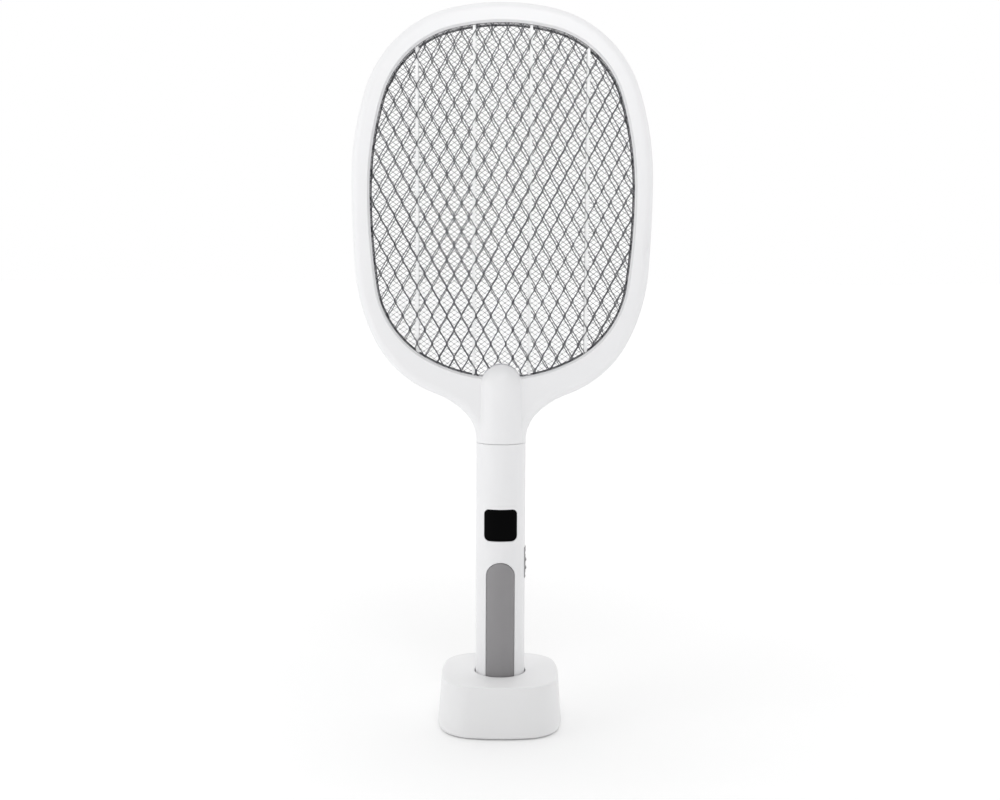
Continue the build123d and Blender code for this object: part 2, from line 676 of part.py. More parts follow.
with BuildPart() as inlet:
    with BuildSketch(facing_front(38.7)) as can:
        with Locations((0, 7.25)):
            RectangleRounded(8.9, 3.2, 1.5)
    extrude(can.sketch, amount=7.3)
    with BuildSketch(facing_front(39.0)) as throat:
        with Locations((0, 7.25)):
            RectangleRounded(8.3, 2.6, 1.2)
    extrude(throat.sketch, amount=6.8, mode=Mode.SUBTRACT)
    block((-3.3, 3.3), (31.6, 37.6), (6.9, 7.6))
write(inlet.part, "usb_inlet")

with BuildPart() as barrels:
    for x in (-PIN_X, PIN_X):
        upright(1.6, STAND_BOARD_Z[1], WELL_FLOOR_Z - 0.1, x)
        upright(1.4, 6.1, 8.2, x, mode=Mode.SUBTRACT)
        upright(1.0, 6.1, WELL_FLOOR_Z + 1, x, mode=Mode.SUBTRACT)
write(barrels.part, "pin_barrels")

for x, name in ((-PIN_X, "pin_left_plunger"), (PIN_X, "pin_right_plunger")):
    with BuildPart() as pin:
        upright(0.9, 7.5, PAD_Z - PIN_GAP, x)
        upright(1.3, 7.5, 8.1, x)
    write(pin.part, name)
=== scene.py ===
"""Electric fly swatter on its charging stand: wire layers, finishes, screws and studio.

Metres, +Z up, the front faces -Y. Plain CAD parts stay as they are and get a finish; the three
mesh layers and the visible screws are made again here as real strands and cross-head screws.
"""

import json
import logging
import math
from dataclasses import dataclass
from enum import Enum

import bmesh
import bpy
from mathutils import Matrix, Vector


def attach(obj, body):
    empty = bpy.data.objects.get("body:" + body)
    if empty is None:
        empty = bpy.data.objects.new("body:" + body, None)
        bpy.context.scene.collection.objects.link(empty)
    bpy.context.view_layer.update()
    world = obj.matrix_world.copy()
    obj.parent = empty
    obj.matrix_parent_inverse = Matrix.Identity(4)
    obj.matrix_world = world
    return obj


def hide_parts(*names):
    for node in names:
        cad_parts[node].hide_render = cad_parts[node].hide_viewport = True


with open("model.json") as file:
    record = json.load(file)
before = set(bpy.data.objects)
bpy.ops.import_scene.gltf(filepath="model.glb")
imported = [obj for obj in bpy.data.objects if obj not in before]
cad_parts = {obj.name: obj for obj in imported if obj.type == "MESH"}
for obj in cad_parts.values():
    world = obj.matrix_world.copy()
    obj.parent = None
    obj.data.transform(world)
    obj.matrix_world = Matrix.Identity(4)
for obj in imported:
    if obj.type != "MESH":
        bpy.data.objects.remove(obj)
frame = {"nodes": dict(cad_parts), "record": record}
LOG = logging.getLogger("fly_swatter")
MM = 0.001


# ---- shader building -------------------------------------------------------------------------
class Sock:
    """A shader value: wraps an output socket so that Python arithmetic adds Math nodes."""

    def __init__(self, graph: "Graph", socket: bpy.types.NodeSocket) -> None:
        """Keep the graph that new nodes go into and the socket that holds the value."""
        self.graph = graph
        self.socket = socket

    def _math(self, operation: str, *values: "Sock | float") -> "Sock":
        """One Math node on up to three values.

        Args:
            operation: The node's operation, such as "MULTIPLY".
            values: Sockets or numbers, in the node's order.

        Returns:
            The node's result.
        """
        return self.graph.node("ShaderNodeMath", {"operation": operation}, dict(enumerate(values)))

    def __add__(self, other: "Sock | float") -> "Sock":
        """Sum."""
        return self._math("ADD", self, other)

    def __radd__(self, other: float) -> "Sock":
        """Sum, number first."""
        return self._math("ADD", other, self)

    def __sub__(self, other: "Sock | float") -> "Sock":
        """Difference."""
        return self._math("SUBTRACT", self, other)

    def __rsub__(self, other: float) -> "Sock":
        """Difference, number first."""
        return self._math("SUBTRACT", other, self)

    def __mul__(self, other: "Sock | float") -> "Sock":
        """Product."""
        return self._math("MULTIPLY", self, other)

    def __rmul__(self, other: float) -> "Sock":
        """Product, number first."""
        return self._math("MULTIPLY", other, self)

    def clamp(self) -> "Sock":
        """The value held between 0 and 1."""
        return self.graph.node("ShaderNodeClamp", {}, {"Value": self})


class Graph:
    """Node tree of one material, built by expressions."""

    def __init__(self, name: str) -> None:
        """Make an empty material called name, with its surface shader and output."""
        self.material = bpy.data.materials.new(name)
        self.material.use_nodes = True
        self.tree = self.material.node_tree
        self.shader = self.tree.nodes["Principled BSDF"]

    def node(
        self, kind: str, settings: dict[str, object], inputs: dict, output: int | str = 0
    ) -> Sock:
        """Add any node.

        Args:
            kind: The node's type.
            settings: Its properties; "stops" fills a colour ramp with (place, colour) pairs.
            inputs: Values, or Socks to link, by input name or index.
            output: Which output to return.

        Returns:
            The chosen output.
        """
        made = self.tree.nodes.new(kind)
        for key, value in settings.items():
            if key == "stops":
                ramp = made.color_ramp
                while len(ramp.elements) < len(value):
                    ramp.elements.new(1.0)
                for element, (place, colour) in zip(ramp.elements, value):
                    element.position, element.color = place, colour
            else:
                setattr(made, key, value)
        for key, value in inputs.items():
            self.feed(made.inputs[key], value)
        return Sock(self, made.outputs[output])

    def feed(self, socket: bpy.types.NodeSocket, value: object) -> None:
        """Fill one input.

        Args:
            socket: The input.
            value: A Sock to link, or the input's own value.
        """
        if isinstance(value, Sock):
            self.tree.links.new(value.socket, socket)
        else:
            socket.default_value = value

    def surface(self, **values: object) -> None:
        """Set or link inputs of the surface shader; an underscore stands for a space."""
        for key, value in values.items():
            self.feed(self.shader.inputs[key.replace("_", " ")], value)

    def place(self, scale: tuple[float, float, float] = (1, 1, 1)) -> Sock:
        """Object coordinates in metres, stretched by scale."""
        where = self.node("ShaderNodeTexCoord", {}, {}, "Object")
        return self.node("ShaderNodeMapping", {}, {"Vector": where, "Scale": scale})

    def noise(self, where: Sock, scale: float, detail: float = 3.0, rough: float = 0.55) -> Sock:
        """Soft noise between 0 and 1, with scale waves to the metre."""
        inputs = {"Vector": where, "Scale": scale, "Detail": detail, "Roughness": rough}
        return self.node("ShaderNodeTexNoise", {}, inputs)

    def between(self, share: Sock, low: tuple, high: tuple) -> Sock:
        """Colour that goes from low to high as share goes from 0 to 1."""
        return self.node("ShaderNodeValToRGB", {"stops": [(0.0, low), (1.0, high)]}, {"Fac": share})

    def bump(self, height: Sock, depth: float, strength: float = 1.0) -> Sock:
        """Surface normal for a relief of depth metres where height goes from 0 to 1."""
        inputs = {"Height": height, "Distance": depth, "Strength": strength}
        return self.node("ShaderNodeBump", {}, inputs, "Normal")


def rgba(colour: tuple[float, float, float], factor: float = 1.0) -> tuple:
    """Colour with full alpha, made lighter or darker by a factor."""
    return (*[min(1.0, c * factor) for c in colour], 1.0)


class Grain(Enum):
    """Surface texture that a moulding tool leaves: (waves to the metre, depth in metres)."""

    POLISHED = (900.0, 0.000002)
    SATIN = (2600.0, 0.000012)
    SOFT_TOUCH = (5200.0, 0.00003)


@dataclass(frozen=True)
class MouldedPlastic:
    """Injection-moulded plastic with tool grain, faint flow mottling and handling marks."""

    name: str
    colour: tuple[float, float, float]
    roughness: float = 0.42
    grain: Grain = Grain.SATIN
    mottle: float = 0.02
    coat: float = 0.0
    specular: float = 0.5

    def material(self) -> bpy.types.Material:
        """Build the finish.

        Returns:
            The new material.
        """
        g = Graph(self.name)
        where = g.place()
        waves, depth = self.grain.value
        flow = g.noise(where, 38.0, 4.0)
        grain = g.noise(where, waves, 2.0)
        rub = g.noise(g.place((1.0, 1.0, 0.35)), 210.0, 5.0, 0.62)
        dull, bright = rgba(self.colour, 1 - self.mottle), rgba(self.colour, 1 + self.mottle)
        g.surface(
            Base_Color=g.between(flow, dull, bright),
            Roughness=(self.roughness + (rub - 0.5) * 0.16 + (flow - 0.5) * 0.06).clamp(),
            Normal=g.bump(grain * 0.8 + flow * 0.2, depth),
            Coat_Weight=self.coat,
            Specular_IOR_Level=self.specular,
        )
        return g.material


@dataclass(frozen=True)
class SoftTouch:
    """Rubbery painted coat: fine stipple and a velvety look at grazing angles."""

    name: str
    colour: tuple[float, float, float]
    roughness: float = 0.62
    sheen: float = 0.25

    def material(self) -> bpy.types.Material:
        """Build the finish.

        Returns:
            The new material.
        """
        g = Graph(self.name)
        where = g.place()
        waves, depth = Grain.SOFT_TOUCH.value
        stipple = g.noise(where, waves, 1.5)
        cloud = g.noise(where, 55.0, 4.0)
        polish = g.noise(g.place((1.0, 1.0, 0.5)), 120.0, 3.0)
        g.surface(
            Base_Color=g.between(cloud, rgba(self.colour, 0.95), rgba(self.colour, 1.06)),
            Roughness=(self.roughness + (polish - 0.5) * 0.22).clamp(),
            Normal=g.bump(stipple, depth),
            Sheen_Weight=self.sheen,
            Sheen_Roughness=0.4,
        )
        return g.material


@dataclass(frozen=True)
class WornMetal:
    """Plain or plated metal: fine drawing lines along one axis and clouded tarnish."""

    name: str
    colour: tuple[float, float, float]
    roughness: float = 0.38
    along: tuple[float, float, float] = (1.0, 1.0, 0.08)
    tarnish: float = 0.25

    def material(self) -> bpy.types.Material:
        """Build the finish.

        Returns:
            The new material.
        """
        g = Graph(self.name)
        lines = g.noise(g.place(self.along), 2400.0, 3.0, 0.7)
        cloud = g.noise(g.place(), 130.0, 4.0)
        g.surface(
            Base_Color=g.between(cloud, rgba(self.colour, 1 - self.tarnish), rgba(self.colour, 1.1)),
            Metallic=1.0,
            Roughness=(self.roughness + (cloud - 0.5) * 0.3 + (lines - 0.5) * 0.15).clamp(),
            Normal=g.bump(lines, 0.000008),
        )
        return g.material


@dataclass(frozen=True)
class ClearPlastic:
    """Tinted see-through plastic with a trace of haze."""

    name: str
    colour: tuple[float, float, float]
    clearness: float = 0.7

    def material(self) -> bpy.types.Material:
        """Build the finish.

        Returns:
            The new material.
        """
        g = Graph(self.name)
        haze = g.noise(g.place(), 300.0, 3.0)
        g.surface(
            Base_Color=g.between(haze, rgba(self.colour, 0.94), rgba(self.colour, 1.04)),
            Roughness=(0.14 + haze * 0.12).clamp(),
            Transmission_Weight=self.clearness,
        )
        return g.material


@dataclass(frozen=True)
class CircuitBoard:
    """Solder mask with the faint relief and tone of copper tracks below it."""

    name: str
    colour: tuple[float, float, float]

    def material(self) -> bpy.types.Material:
        """Build the finish.

        Returns:
            The new material.
        """
        g = Graph(self.name)
        layout = {"Vector": g.place(), "Scale": 160.0, "Mortar Size": 0.03}
        tracks = g.node("ShaderNodeTexBrick", {}, layout, "Fac")
        g.surface(
            Base_Color=g.between(tracks, rgba(self.colour), rgba(self.colour, 1.6)),
            Roughness=(0.32 + g.noise(g.place(), 400.0) * 0.12).clamp(),
            Normal=g.bump(tracks, 0.00002),
            Coat_Weight=0.3,
        )
        return g.material


WHITE_SHELL = MouldedPlastic("white_shell", (0.84, 0.84, 0.85), roughness=0.4)
WHITE_STAND = MouldedPlastic("white_stand", (0.85, 0.85, 0.855), roughness=0.45)
GREY_GRIP = SoftTouch("grey_grip", (0.275, 0.268, 0.275))
GREY_PLASTIC = MouldedPlastic("grey_plastic", (0.30, 0.30, 0.305), roughness=0.5, mottle=0.04)
BLACK_GLOSS = MouldedPlastic(
    "black_gloss", (0.0007, 0.0007, 0.0008), roughness=0.1, grain=Grain.POLISHED, mottle=0.0, specular=0.03
)
GUARD_STEEL = WornMetal("guard_steel", (0.16, 0.16, 0.175), roughness=0.42)
LIVE_STEEL = WornMetal("live_steel", (0.20, 0.20, 0.22), roughness=0.45)
MILKY = MouldedPlastic("insulator", (0.93, 0.93, 0.935), roughness=0.3, grain=Grain.POLISHED)
LENS = ClearPlastic("clear_lens", (0.80, 0.78, 0.98))
LED_EPOXY = ClearPlastic("led_epoxy", (0.62, 0.58, 0.98), clearness=0.5)
BOARD = CircuitBoard("board_green", (0.02, 0.16, 0.07))
BRASS = WornMetal("brass", (0.80, 0.62, 0.30), roughness=0.3)
SCREW_STEEL = WornMetal("screw_steel", (0.62, 0.62, 0.63), roughness=0.32, along=(1, 0.1, 1))
TINNED = WornMetal("tinned_steel", (0.68, 0.68, 0.69), roughness=0.3)
CELL_WRAP = MouldedPlastic("cell_wrap", (0.08, 0.30, 0.52), roughness=0.25, grain=Grain.POLISHED, coat=0.4)
FOAM = SoftTouch("foam", (0.06, 0.06, 0.06), roughness=0.9)
FERRITE = MouldedPlastic("ferrite", (0.09, 0.09, 0.092), roughness=0.7, mottle=0.15)
TAPE = MouldedPlastic("winding_tape", (0.80, 0.60, 0.08), roughness=0.3, grain=Grain.POLISHED)
CAP_RED = MouldedPlastic("capacitor_red", (0.45, 0.06, 0.03), roughness=0.28, coat=0.3)
DISC_BLUE = MouldedPlastic("disc_blue", (0.06, 0.18, 0.50), roughness=0.35, coat=0.2)
BLACK_PLASTIC = MouldedPlastic("black_plastic", (0.02, 0.02, 0.02), roughness=0.5)
LEAD_RED = SoftTouch("lead_red", (0.55, 0.03, 0.02), roughness=0.45)
FOOT_RUBBER = SoftTouch("foot_rubber", (0.035, 0.035, 0.035), roughness=0.8)

OUTSIDE = (WHITE_SHELL, WHITE_STAND, GREY_GRIP, GREY_PLASTIC, BLACK_GLOSS, FOOT_RUBBER)
HEAD = (GUARD_STEEL, LIVE_STEEL, MILKY, LENS, LED_EPOXY, LEAD_RED)
INSIDE = (BOARD, BRASS, TINNED, CELL_WRAP, FOAM, FERRITE, TAPE, CAP_RED, DISC_BLUE, BLACK_PLASTIC)
FINISHES = {finish.name: finish for finish in (*OUTSIDE, *HEAD, *INSIDE, SCREW_STEEL)}
_made: dict[str, bpy.types.Material] = {}


def finish_material(name: str) -> bpy.types.Material:
    """The material of a finish, built the first time that it is asked for."""
    if name not in _made:
        _made[name] = FINISHES[name].material()
    return _made[name]


# ---- helpers for meshes ----------------------------------------------------------------------
def to_object(bm: bmesh.types.BMesh, name: str, smooth: float = 35.0) -> bpy.types.Object:
    """Turn a bmesh into a linked object whose sharp edges stay sharp.

    Args:
        bm: The finished shape, freed here.
        name: The piece's name.
        smooth: Edges that turn by more degrees than this stay sharp.

    Returns:
        The object, at the origin.
    """
    mesh = bpy.data.meshes.new(name)
    bm.to_mesh(mesh)
    bm.free()
    made = bpy.data.objects.new(name, mesh)
    bpy.context.scene.collection.objects.link(made)
    mesh.shade_smooth()
    mesh.set_sharp_from_angle(angle=math.radians(smooth))
    return made


def dress(
    piece: bpy.types.Object, body: str, slot: str, *nodes: str, finish: str | None = None
) -> bpy.types.Object:
    """Give a new piece its finish, its body and the CAD nodes that it stands for.

    Args:
        piece: The finished object.
        body: The body that it moves with.
        slot: The record's material slot.
        nodes: CAD nodes that it replaces.
        finish: A finish other than the slot's own.

    Returns:
        The same object.
    """
    piece.data.materials.clear()
    piece.data.materials.append(finish_material(finish or slot))
    if nodes:
        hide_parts(*nodes)
    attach(piece, body)
    LOG.info("%s rides on %s", piece.name, body)
    return piece


# ---- outlines --------------------------------------------------------------------------------
@dataclass(frozen=True)
class ArcOutline:
    """Closed outline symmetric about X=0: tangent arcs from the top, the last one closing it.

    top is the outline's highest z, arcs its (radius, turn in degrees) pairs down the right side,
    and step the turn between two points. Lengths are in millimetres.
    """

    top: float
    arcs: tuple[tuple[float, float], ...]
    step: float = 2.0

    def points(self) -> list[Vector]:
        """Points down the right side and up the left.

        Returns:
            The points as (x, z).
        """
        here, heading = Vector((0.0, self.top)), 0.0
        right = [here.copy()]
        arcs = list(self.arcs)
        turned = sum(turn for _, turn in arcs)
        for index in range(len(arcs) + 1):
            if index == len(arcs):
                left = 180.0 - turned
                arcs.append((here.x / math.sin(math.radians(left)), left))
            radius, turn = arcs[index]
            centre = here + radius * Vector((math.sin(heading), -math.cos(heading)))
            count = max(2, round(turn / self.step))
            for k in range(1, count + 1):
                angle = heading - math.radians(turn) * k / count
                here = centre - radius * Vector((math.sin(angle), -math.cos(angle)))
                right.append(here.copy())
            heading -= math.radians(turn)
        return right + [Vector((-p.x, p.y)) for p in reversed(right[1:-1])]

    def grown(self, amount: float) -> list[Vector]:
        """The outline moved outwards.

        Args:
            amount: How far each point moves.

        Returns:
            The points as (x, z).
        """
        ring = self.points()
        out = []
        for before, point, after in zip(ring[-1:] + ring[:-1], ring, ring[1:] + ring[:1]):
            along = (after - before).normalized()
            out.append(point + amount * Vector((-along.y, along.x)))
        return out


OPENING = ArcOutline(476.8, ((138, 14), (64, 59), (216, 17), (450, 8), (66, 52)))


def crossings(ring: list[Vector], x: float) -> tuple[float, float] | None:
    """Where an upright line meets an outline.

    Args:
        ring: The outline's points as (x, z).
        x: The line's place.

    Returns:
        The lowest and highest z, or None where the line passes beside the outline.
    """
    hits = []
    for a, b in zip(ring, ring[1:] + ring[:1]):
        if (a.x - x) * (b.x - x) < 0:
            hits.append(a.y + (b.y - a.y) * (x - a.x) / (b.x - a.x))
    return (min(hits), max(hits)) if hits else None


# ---- mesh layers -----------------------------------------------------------------------------
@dataclass
class StrandLayer:
    """One layer of expanded steel: upright zigzag strands that meet their neighbours at nodes.

    Lengths are in millimetres. pitch is a cell's width and height, land the straight length where
    two strands touch, reach how far they run past the opening, keep_out their distance from the
    dome, twist how far they lean out of the layer, and rim the place of the bent edge's wire.
    """

    name: str
    node: str
    slot: str
    depth: float
    pitch: tuple[float, float]
    wire: float
    land: float
    reach: float
    keep_out: float
    phase: float = 0.0
    shift: float = 0.0
    twist: float = 0.0
    sides: int = 1
    crossed: bool = False
    rim: float | None = None
    outline: ArcOutline = OPENING
    dome: tuple[float, float] = (236.5, 13.9)

    def floor_at(self, x: float, low: float) -> float:
        """Keep a strand off the dome that stands up into the opening.

        Args:
            x: The strand's place.
            low: The lowest z that the opening gives it.

        Returns:
            The lowest z that it may reach.
        """
        reach = self.dome[1] + self.keep_out
        if abs(x) >= reach:
            return low
        return max(low, self.dome[0] + math.sqrt(reach**2 - x**2))

    def strand(self, column: int, ring: list[Vector]) -> list[Vector]:
        """Centreline of the strand between two columns of nodes.

        Args:
            column: The strand's number, 0 beside the middle.
            ring: The outline that ends it.

        Returns:
            Its points, none where it misses the outline.
        """
        half_x, half_z = self.pitch[0] / 2, self.pitch[1] / 2
        middle = (column + 0.5) * half_x + self.shift
        span = crossings(ring, middle)
        if span is None:
            return []
        low, high = self.floor_at(middle, span[0]), span[1]
        swing = half_x / 2 - (0.0 if self.crossed else self.wire / 2)
        points = []
        first, last = math.floor((low - self.phase) / half_z), math.ceil((high - self.phase) / half_z)
        for row in range(first, last + 1):
            way = 1 if (row + column) % 2 else -1
            x, z = middle + way * swing, self.phase + row * half_z
            for shift in (-self.land / 2, self.land / 2) if self.land else (0.0,):
                points.append(Vector((x, self.twist * way, z + shift)))
        return self.cut(points, low, high)

    @staticmethod
    def cut(points: list[Vector], low: float, high: float) -> list[Vector]:
        """The part of a centreline that lies between two heights.

        Args:
            points: The centreline.
            low: The lower height.
            high: The upper height.

        Returns:
            The points kept, with new ones at the two heights.
        """
        kept = []
        for a, b in zip(points, points[1:]):
            for point, other in ((a, b), (b, a)):
                if low <= point.z <= high:
                    kept.append(point)
                else:
                    edge = low if point.z < low else high
                    if (edge - point.z) * (edge - other.z) < 0:
                        kept.append(point.lerp(other, (edge - point.z) / (other.z - point.z)))
        return [p for i, p in enumerate(kept) if i == 0 or (p - kept[i - 1]).length > 1e-6]

    def rim_wire(self) -> list[Vector]:
        """Line of the bent edge of the sheet, from one side of the dome round to the other.

        Returns:
            Its points.
        """
        ring = self.outline.grown(self.rim)
        half, clear = len(ring) // 2, self.dome[1] + self.keep_out
        ordered = ring[half:] + ring[:half]
        return [
            Vector((p.x, 0.0, p.y))
            for p in ordered
            if abs(p.x) > clear or p.y > self.dome[0] + clear
        ]

    def build(self) -> bpy.types.Object:
        """Sweep every strand and join them in one piece.

        Returns:
            The finished layer.
        """
        ring = self.outline.grown(self.reach)
        curve = bpy.data.curves.new(self.name, "CURVE")
        curve.dimensions, curve.bevel_depth = "3D", self.wire / 2 * MM
        curve.bevel_resolution, curve.use_fill_caps = self.sides, True
        columns = math.ceil(max(p.x for p in ring) / (self.pitch[0] / 2)) + 1
        lines = [self.strand(column, ring) for column in range(-columns, columns)]
        if self.rim is not None:
            lines.append(self.rim_wire())
        for points in lines:
            if len(points) < 3:
                continue
            spline = curve.splines.new("POLY")
            spline.points.add(len(points) - 1)
            for target, p in zip(spline.points, points):
                target.co = (p.x * MM, (self.depth + p.y) * MM, p.z * MM, 1.0)
        temporary = bpy.data.objects.new(self.name + "_curve", curve)
        mesh = bpy.data.meshes.new_from_object(temporary)
        bpy.data.objects.remove(temporary)
        bpy.data.curves.remove(curve)
        bm = bmesh.new()
        bm.from_mesh(mesh)
        bpy.data.meshes.remove(mesh)
        bmesh.ops.remove_doubles(bm, verts=bm.verts, dist=1e-6)
        bmesh.ops.recalc_face_normals(bm, faces=bm.faces)
        return dress(to_object(bm, self.name, 60.0), "racket", self.slot, self.node)


@dataclass
class MeshStack:
    """The three layers inside the ring: fine live mesh between two coarse guards.

    An offset is how far a guard's cells are moved sideways and up, in millimetres.
    """

    guard_depth: float = 6.4
    guard_pitch: tuple[float, float] = (10.0, 19.0)
    guard_wire: float = 0.66
    live_pitch: tuple[float, float] = (4.6, 3.3)
    live_wire: float = 0.54
    front_offset: tuple[float, float] = (-2.1, 8.5)
    rear_offset: tuple[float, float] = (-2.5, 6.8)

    def build(self) -> None:
        """Build the guards, each with its rim wire, and the live mesh."""
        for side, way, offset in (("front", -1, self.front_offset), ("rear", 1, self.rear_offset)):
            StrandLayer(
                f"{side}_guard_strands",
                f"{side}_guard_mesh",
                "guard_steel",
                way * self.guard_depth,
                self.guard_pitch,
                self.guard_wire,
                land=2.4,
                reach=3.8,
                keep_out=0.8,
                shift=offset[0],
                phase=offset[1],
                twist=0.15,
                rim=0.25,
            ).build()
        StrandLayer(
            "live_strands",
            "hv_mesh",
            "live_steel",
            0.0,
            self.live_pitch,
            self.live_wire,
            land=0.0,
            reach=3.4,
            keep_out=1.0,
            sides=0,
            crossed=True,
        ).build()


# ---- grip ------------------------------------------------------------------------------------
def bent_round(bm: bmesh.types.BMesh, radius: float) -> None:
    """Wrap a flat shape, drawn at y=0 with its depth along +Y, round the front of a bar.

    Args:
        bm: The shape in millimetres; x and z stay, y becomes a depth below the surface.
        radius: The bar's radius.
    """
    for vert in bm.verts:
        x, depth, _ = vert.co
        vert.co.y = -math.sqrt((radius - depth) ** 2 - x**2)


def sliced(bm: bmesh.types.BMesh, axis: Vector, low: float, high: float, count: int) -> None:
    """Cut a flat shape into strips square to an axis, so that it can bend.

    Args:
        bm: The shape.
        axis: The direction across the strips.
        low: Where the first strip starts along the axis.
        high: Where the last one ends.
        count: How many strips.
    """
    for k in range(1, count):
        at = axis * (low + (high - low) * k / count)
        everything = bm.verts[:] + bm.edges[:] + bm.faces[:]
        bmesh.ops.bisect_plane(bm, geom=everything, plane_co=at, plane_no=axis)


@dataclass
class GripPad:
    """Soft grey strip down the front of the handle, with a rounded edge in a fine groove."""

    half_width: float = 9.5
    foot: float = 11.75
    top: float = 115.45
    radius: float = 17.15
    thickness: float = 1.5
    rounding: float = 0.45
    arc_steps: int = 24
    strips: int = 16

    def build(self) -> bpy.types.Object:
        """Draw the strip flat, thicken it, round its edge and wrap it round the handle.

        Returns:
            The finished pad.
        """
        bm = bmesh.new()
        centre = Vector((0, 0, self.top - self.half_width))
        start = bm.verts.new((self.half_width, 0, centre.z))
        bmesh.ops.spin(
            bm,
            geom=[start],
            cent=centre,
            axis=(0, -1, 0),
            angle=math.pi,
            steps=self.arc_steps,
            use_merge=False,
        )
        left = min(bm.verts, key=lambda v: v.co.x)
        low = [bm.verts.new((side * self.half_width, 0, self.foot)) for side in (-1, 1)]
        for a, b in ((left, low[0]), (low[0], low[1]), (low[1], start)):
            bm.edges.new((a, b))
        face = bmesh.ops.contextual_create(bm, geom=bm.edges[:])["faces"][0]
        grown = bmesh.ops.extrude_face_region(bm, geom=[face])
        back = [v for v in grown["geom"] if isinstance(v, bmesh.types.BMVert)]
        bmesh.ops.translate(bm, verts=back, vec=(0, self.thickness, 0))
        rim = [e for e in bm.edges if all(abs(v.co.y) < 1e-6 for v in e.verts)]
        bmesh.ops.bevel(
            bm, geom=rim, offset=self.rounding, affect="EDGES", segments=3, profile=0.5, material=-1
        )
        sliced(bm, Vector((1, 0, 0)), -self.half_width, self.half_width, self.strips)
        bent_round(bm, self.radius)
        bmesh.ops.recalc_face_normals(bm, faces=bm.faces)
        bmesh.ops.scale(bm, vec=(MM, MM, MM), verts=bm.verts)
        return dress(to_object(bm, "grip_pad", 45.0), "racket", "grey_grip", "grip_inlay")


# ---- screws ----------------------------------------------------------------------------------
@dataclass
class CrossScrews:
    """Self-tapping screws with a cross recess, one piece for each CAD node of screws.

    Sizes are shares of the head's radius: dome is the head's rise, cross the length of the
    recess's arms, arm their half width, recess its depth, taper what its floor narrows to, and
    shank and tip the radii below the head.
    """

    node: str
    body: str
    facing: Vector
    dome: float = 0.10
    cross: float = 0.62
    arm: float = 0.279
    recess: float = 0.45
    taper: float = 0.72
    shank: float = 0.46
    tip: float = 0.08

    def places(self) -> list[tuple[Vector, Vector]]:
        """Find each screw of the CAD node.

        Returns:
            The lowest and highest corner of each, in metres, in a fixed order.
        """
        bm = bmesh.new()
        bm.from_mesh(frame["nodes"][self.node].data)
        bmesh.ops.remove_doubles(bm, verts=bm.verts, dist=1e-6)
        left, boxes = set(bm.verts), []
        while left:
            queue, found = [left.pop()], []
            while queue:
                vert = queue.pop()
                found.append(vert.co.copy())
                for edge in vert.link_edges:
                    other = edge.other_vert(vert)
                    if other in left:
                        left.remove(other)
                        queue.append(other)
            low, high = ([pick(c[i] for c in found) for i in range(3)] for pick in (min, max))
            boxes.append((Vector(low), Vector(high)))
        bm.free()
        return sorted(boxes, key=lambda box: tuple(box[0]))

    def screw(self, bm: bmesh.types.BMesh, radius: float, length: float) -> list[bmesh.types.BMVert]:
        """One screw standing up along Z with the middle of its head's face at the origin.

        Args:
            bm: The mesh to add to.
            radius: The head's radius.
            length: From the head's face to the point.

        Returns:
            The new vertices.
        """
        before = set(bm.verts)
        top = bmesh.ops.create_grid(bm, x_segments=8, y_segments=8, size=1.0)["verts"]
        for vert in top:
            u, v, _ = vert.co
            rise = self.dome * (1 - min(1.0, (u * u + v * v) / 1.6))
            vert.co = Vector((u * math.sqrt(1 - v * v / 2), v * math.sqrt(1 - u * u / 2), rise)) * radius
        faces = [f for f in bm.faces if f.verts[0] not in before]
        width, length_of_arm = self.arm * radius, self.cross * radius * 1.02
        cross = []
        for face in faces:
            c = face.calc_center_median()
            if (abs(c.x) < width or abs(c.y) < width) and c.length < length_of_arm:
                cross.append(face)
        sunk = bmesh.ops.extrude_face_region(bm, geom=cross)
        floor = [v for v in sunk["geom"] if isinstance(v, bmesh.types.BMVert)]
        bmesh.ops.delete(bm, geom=cross, context="FACES_ONLY")
        bmesh.ops.translate(bm, verts=floor, vec=(0, 0, -self.recess * radius))
        bmesh.ops.scale(bm, vec=(self.taper, self.taper, 1.0), verts=floor)
        mine = [v for v in bm.verts if v not in before]
        edge = [e for e in bm.edges if e.is_boundary and e.verts[0] in mine]
        point = length / radius
        head_side = ((1.0, 0.12), (1.0, 0.55), (self.shank, 0.6))
        for wide, down in (*head_side, (self.shank, point - 0.8), (self.tip, point)):
            grown = bmesh.ops.extrude_edge_only(bm, edges=edge)["geom"]
            verts = [v for v in grown if isinstance(v, bmesh.types.BMVert)]
            edge = [e for e in grown if isinstance(e, bmesh.types.BMEdge)]
            for vert in verts:
                flat = Vector((vert.co.x, vert.co.y))
                flat = flat.normalized() * radius * wide
                vert.co = (flat.x, flat.y, -down * radius)
        bmesh.ops.edgeloop_fill(bm, edges=edge)
        return [v for v in bm.verts if v not in before]

    def build(self) -> bpy.types.Object:
        """Put a screw where the CAD node has each of its own.

        Returns:
            The screws, as one piece.
        """
        bm = bmesh.new()
        turn = self.facing.to_track_quat("Z", "Y").to_matrix().to_4x4()
        along = max(range(3), key=lambda i: abs(self.facing[i]))
        for index, (low, high) in enumerate(self.places()):
            size = high - low
            radius = sorted(size)[1] / 2
            head = (low + high) / 2
            head[along] = (high if self.facing[along] > 0 else low)[along]
            verts = self.screw(bm, radius, size[along])
            spin = Matrix.Rotation(0.7 * index + 0.35, 4, "Z")
            place = Matrix.Translation(head - self.facing * self.dome * radius) @ turn @ spin
            bmesh.ops.transform(bm, matrix=place, verts=verts)
        bmesh.ops.recalc_face_normals(bm, faces=bm.faces)
        name = self.node.replace("screws", "cross_screws")
        return dress(to_object(bm, name, 30.0), self.body, "screw_steel", self.node)


